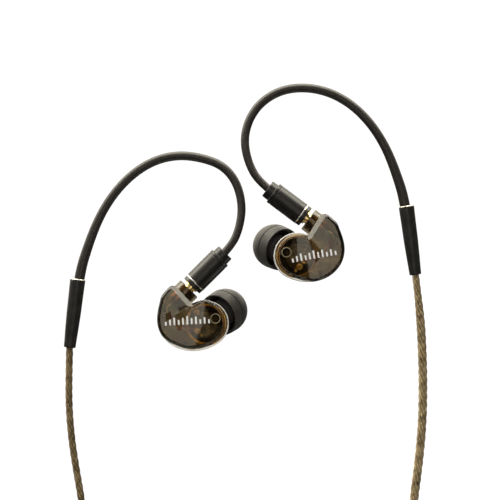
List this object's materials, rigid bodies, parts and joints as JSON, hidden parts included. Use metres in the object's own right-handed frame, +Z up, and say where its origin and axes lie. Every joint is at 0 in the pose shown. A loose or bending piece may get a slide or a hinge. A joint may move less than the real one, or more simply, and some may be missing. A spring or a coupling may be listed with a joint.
{
  "type": "in ear monitors",
  "caption": "Pair of over-ear monitors: clear smoke housings, silicone tips, swivelling coaxial connectors, formed ear hooks and a twisted cable to a 3.5 mm plug.",
  "frame": {"origin": "on the surface that the pair lies on, under the middle of the earpieces and ear hooks without the free cord", "axes": "+X along the pair's longest side, +Y up the page towards the tops of the ear hooks, +Z up off the surface"},
  "size_m": [0.0974, 0.2062, 0.0156],
  "materials": {
    "clear_shell": "clear smoke-brown moulded plastic, polished",
    "silicone": "matte dark grey silicone",
    "black_metal": "satin black coated metal",
    "bright_metal": "polished bright metal",
    "gold_metal": "gold plated brass",
    "nozzle_metal": "satin machined aluminium",
    "steel": "plain steel",
    "hook_tube": "matte dark grey formed tube",
    "shrink_sleeve": "black heat-shrink tube, slightly glossy",
    "bronze_cable": "clear insulated bronze and gold twisted strands",
    "black_plastic": "black moulded plastic",
    "white_plastic": "white insulator plastic",
    "board": "glass fibre circuit board",
    "film": "thin polymer film",
    "wire_enamel": "red wire insulation"
  },
  "bodies": {
    "cable": {"jack_insulators": "black_plastic", "jack_ring": "gold_metal", "jack_sleeve": "gold_metal", "jack_tip": "gold_metal", "left_branch_cable": "bronze_cable", "left_branch_coil": "bronze_cable", "left_branch_lead": "bronze_cable", "left_cable_sleeve": "shrink_sleeve", "left_connector_barrel": "black_metal", "left_ear_hook": "hook_tube", "left_plug_contact": "gold_metal", "left_plug_insulator": "white_plastic", "left_plug_pin": "gold_metal", "left_trim_ring": "bright_metal", "main_cable": "bronze_cable", "main_coil": "bronze_cable", "main_lead": "bronze_cable", "plug_handle": "black_metal", "plug_relief": "black_plastic", "right_branch_cable": "bronze_cable", "right_branch_coil": "bronze_cable", "right_branch_lead": "bronze_cable", "right_cable_sleeve": "shrink_sleeve", "right_connector_barrel": "black_metal", "right_ear_hook": "hook_tube", "right_plug_contact": "gold_metal", "right_plug_insulator": "white_plastic", "right_plug_pin": "gold_metal", "right_trim_ring": "bright_metal", "y_splitter": "black_metal"},
    "slider": {"chin_slider": "black_plastic"},
    "left_snap": {"left_snap_ring": "gold_metal"},
    "left_earpiece": {"left_faceplate": "clear_shell", "left_shell": "clear_shell", "left_nozzle": "nozzle_metal", "left_nozzle_screen": "steel", "left_driver_frame": "black_plastic", "left_driver_magnet": "steel", "left_driver_diaphragm": "film", "left_driver_ring": "gold_metal", "left_terminal_board": "board", "left_lead_wires": "wire_enamel", "left_guide_pins": "black_plastic", "left_coax_socket": "gold_metal"},
    "left_tip": {"left_ear_tip": "silicone"},
    "right_snap": {"right_snap_ring": "gold_metal"},
    "right_earpiece": {"right_faceplate": "clear_shell", "right_shell": "clear_shell", "right_nozzle": "nozzle_metal", "right_nozzle_screen": "steel", "right_driver_frame": "black_plastic", "right_driver_magnet": "steel", "right_driver_diaphragm": "film", "right_driver_ring": "gold_metal", "right_terminal_board": "board", "right_lead_wires": "wire_enamel", "right_guide_pins": "black_plastic", "right_coax_socket": "gold_metal"},
    "right_tip": {"right_ear_tip": "silicone"}
  },
  "joints": [
    {"name": "left_connector_swivel", "type": "hinge", "parent": "cable", "child": "left_snap", "pos_m": [-0.0124, -0.0174, 0.011], "axis": [0.7071, 0.7071, 0], "continuous": true},
    {"name": "left_unplug", "type": "slide", "parent": "left_snap", "child": "left_earpiece", "axis": [-0.7071, -0.7071, 0], "range_m": [0, 0.0045]},
    {"name": "left_tip_pull_off", "type": "slide", "parent": "left_earpiece", "child": "left_tip", "axis": [0.5564, 0.3477, -0.7547], "range_m": [0, 0.0055]},
    {"name": "right_connector_swivel", "type": "hinge", "parent": "cable", "child": "right_snap", "pos_m": [0.0155, 0.0007, 0.011], "axis": [-0.8, 0.6, 0], "continuous": true},
    {"name": "right_unplug", "type": "slide", "parent": "right_snap", "child": "right_earpiece", "axis": [0.8, -0.6, 0], "range_m": [0, 0.0045]},
    {"name": "right_tip_pull_off", "type": "slide", "parent": "right_earpiece", "child": "right_tip", "axis": [-0.5999, 0.2655, -0.7547], "range_m": [0, 0.0055]},
    {"name": "chin_slide", "type": "slide", "parent": "cable", "child": "slider", "axis": [0, 1, 0], "range_m": [0, 0.009]}
  ]
}
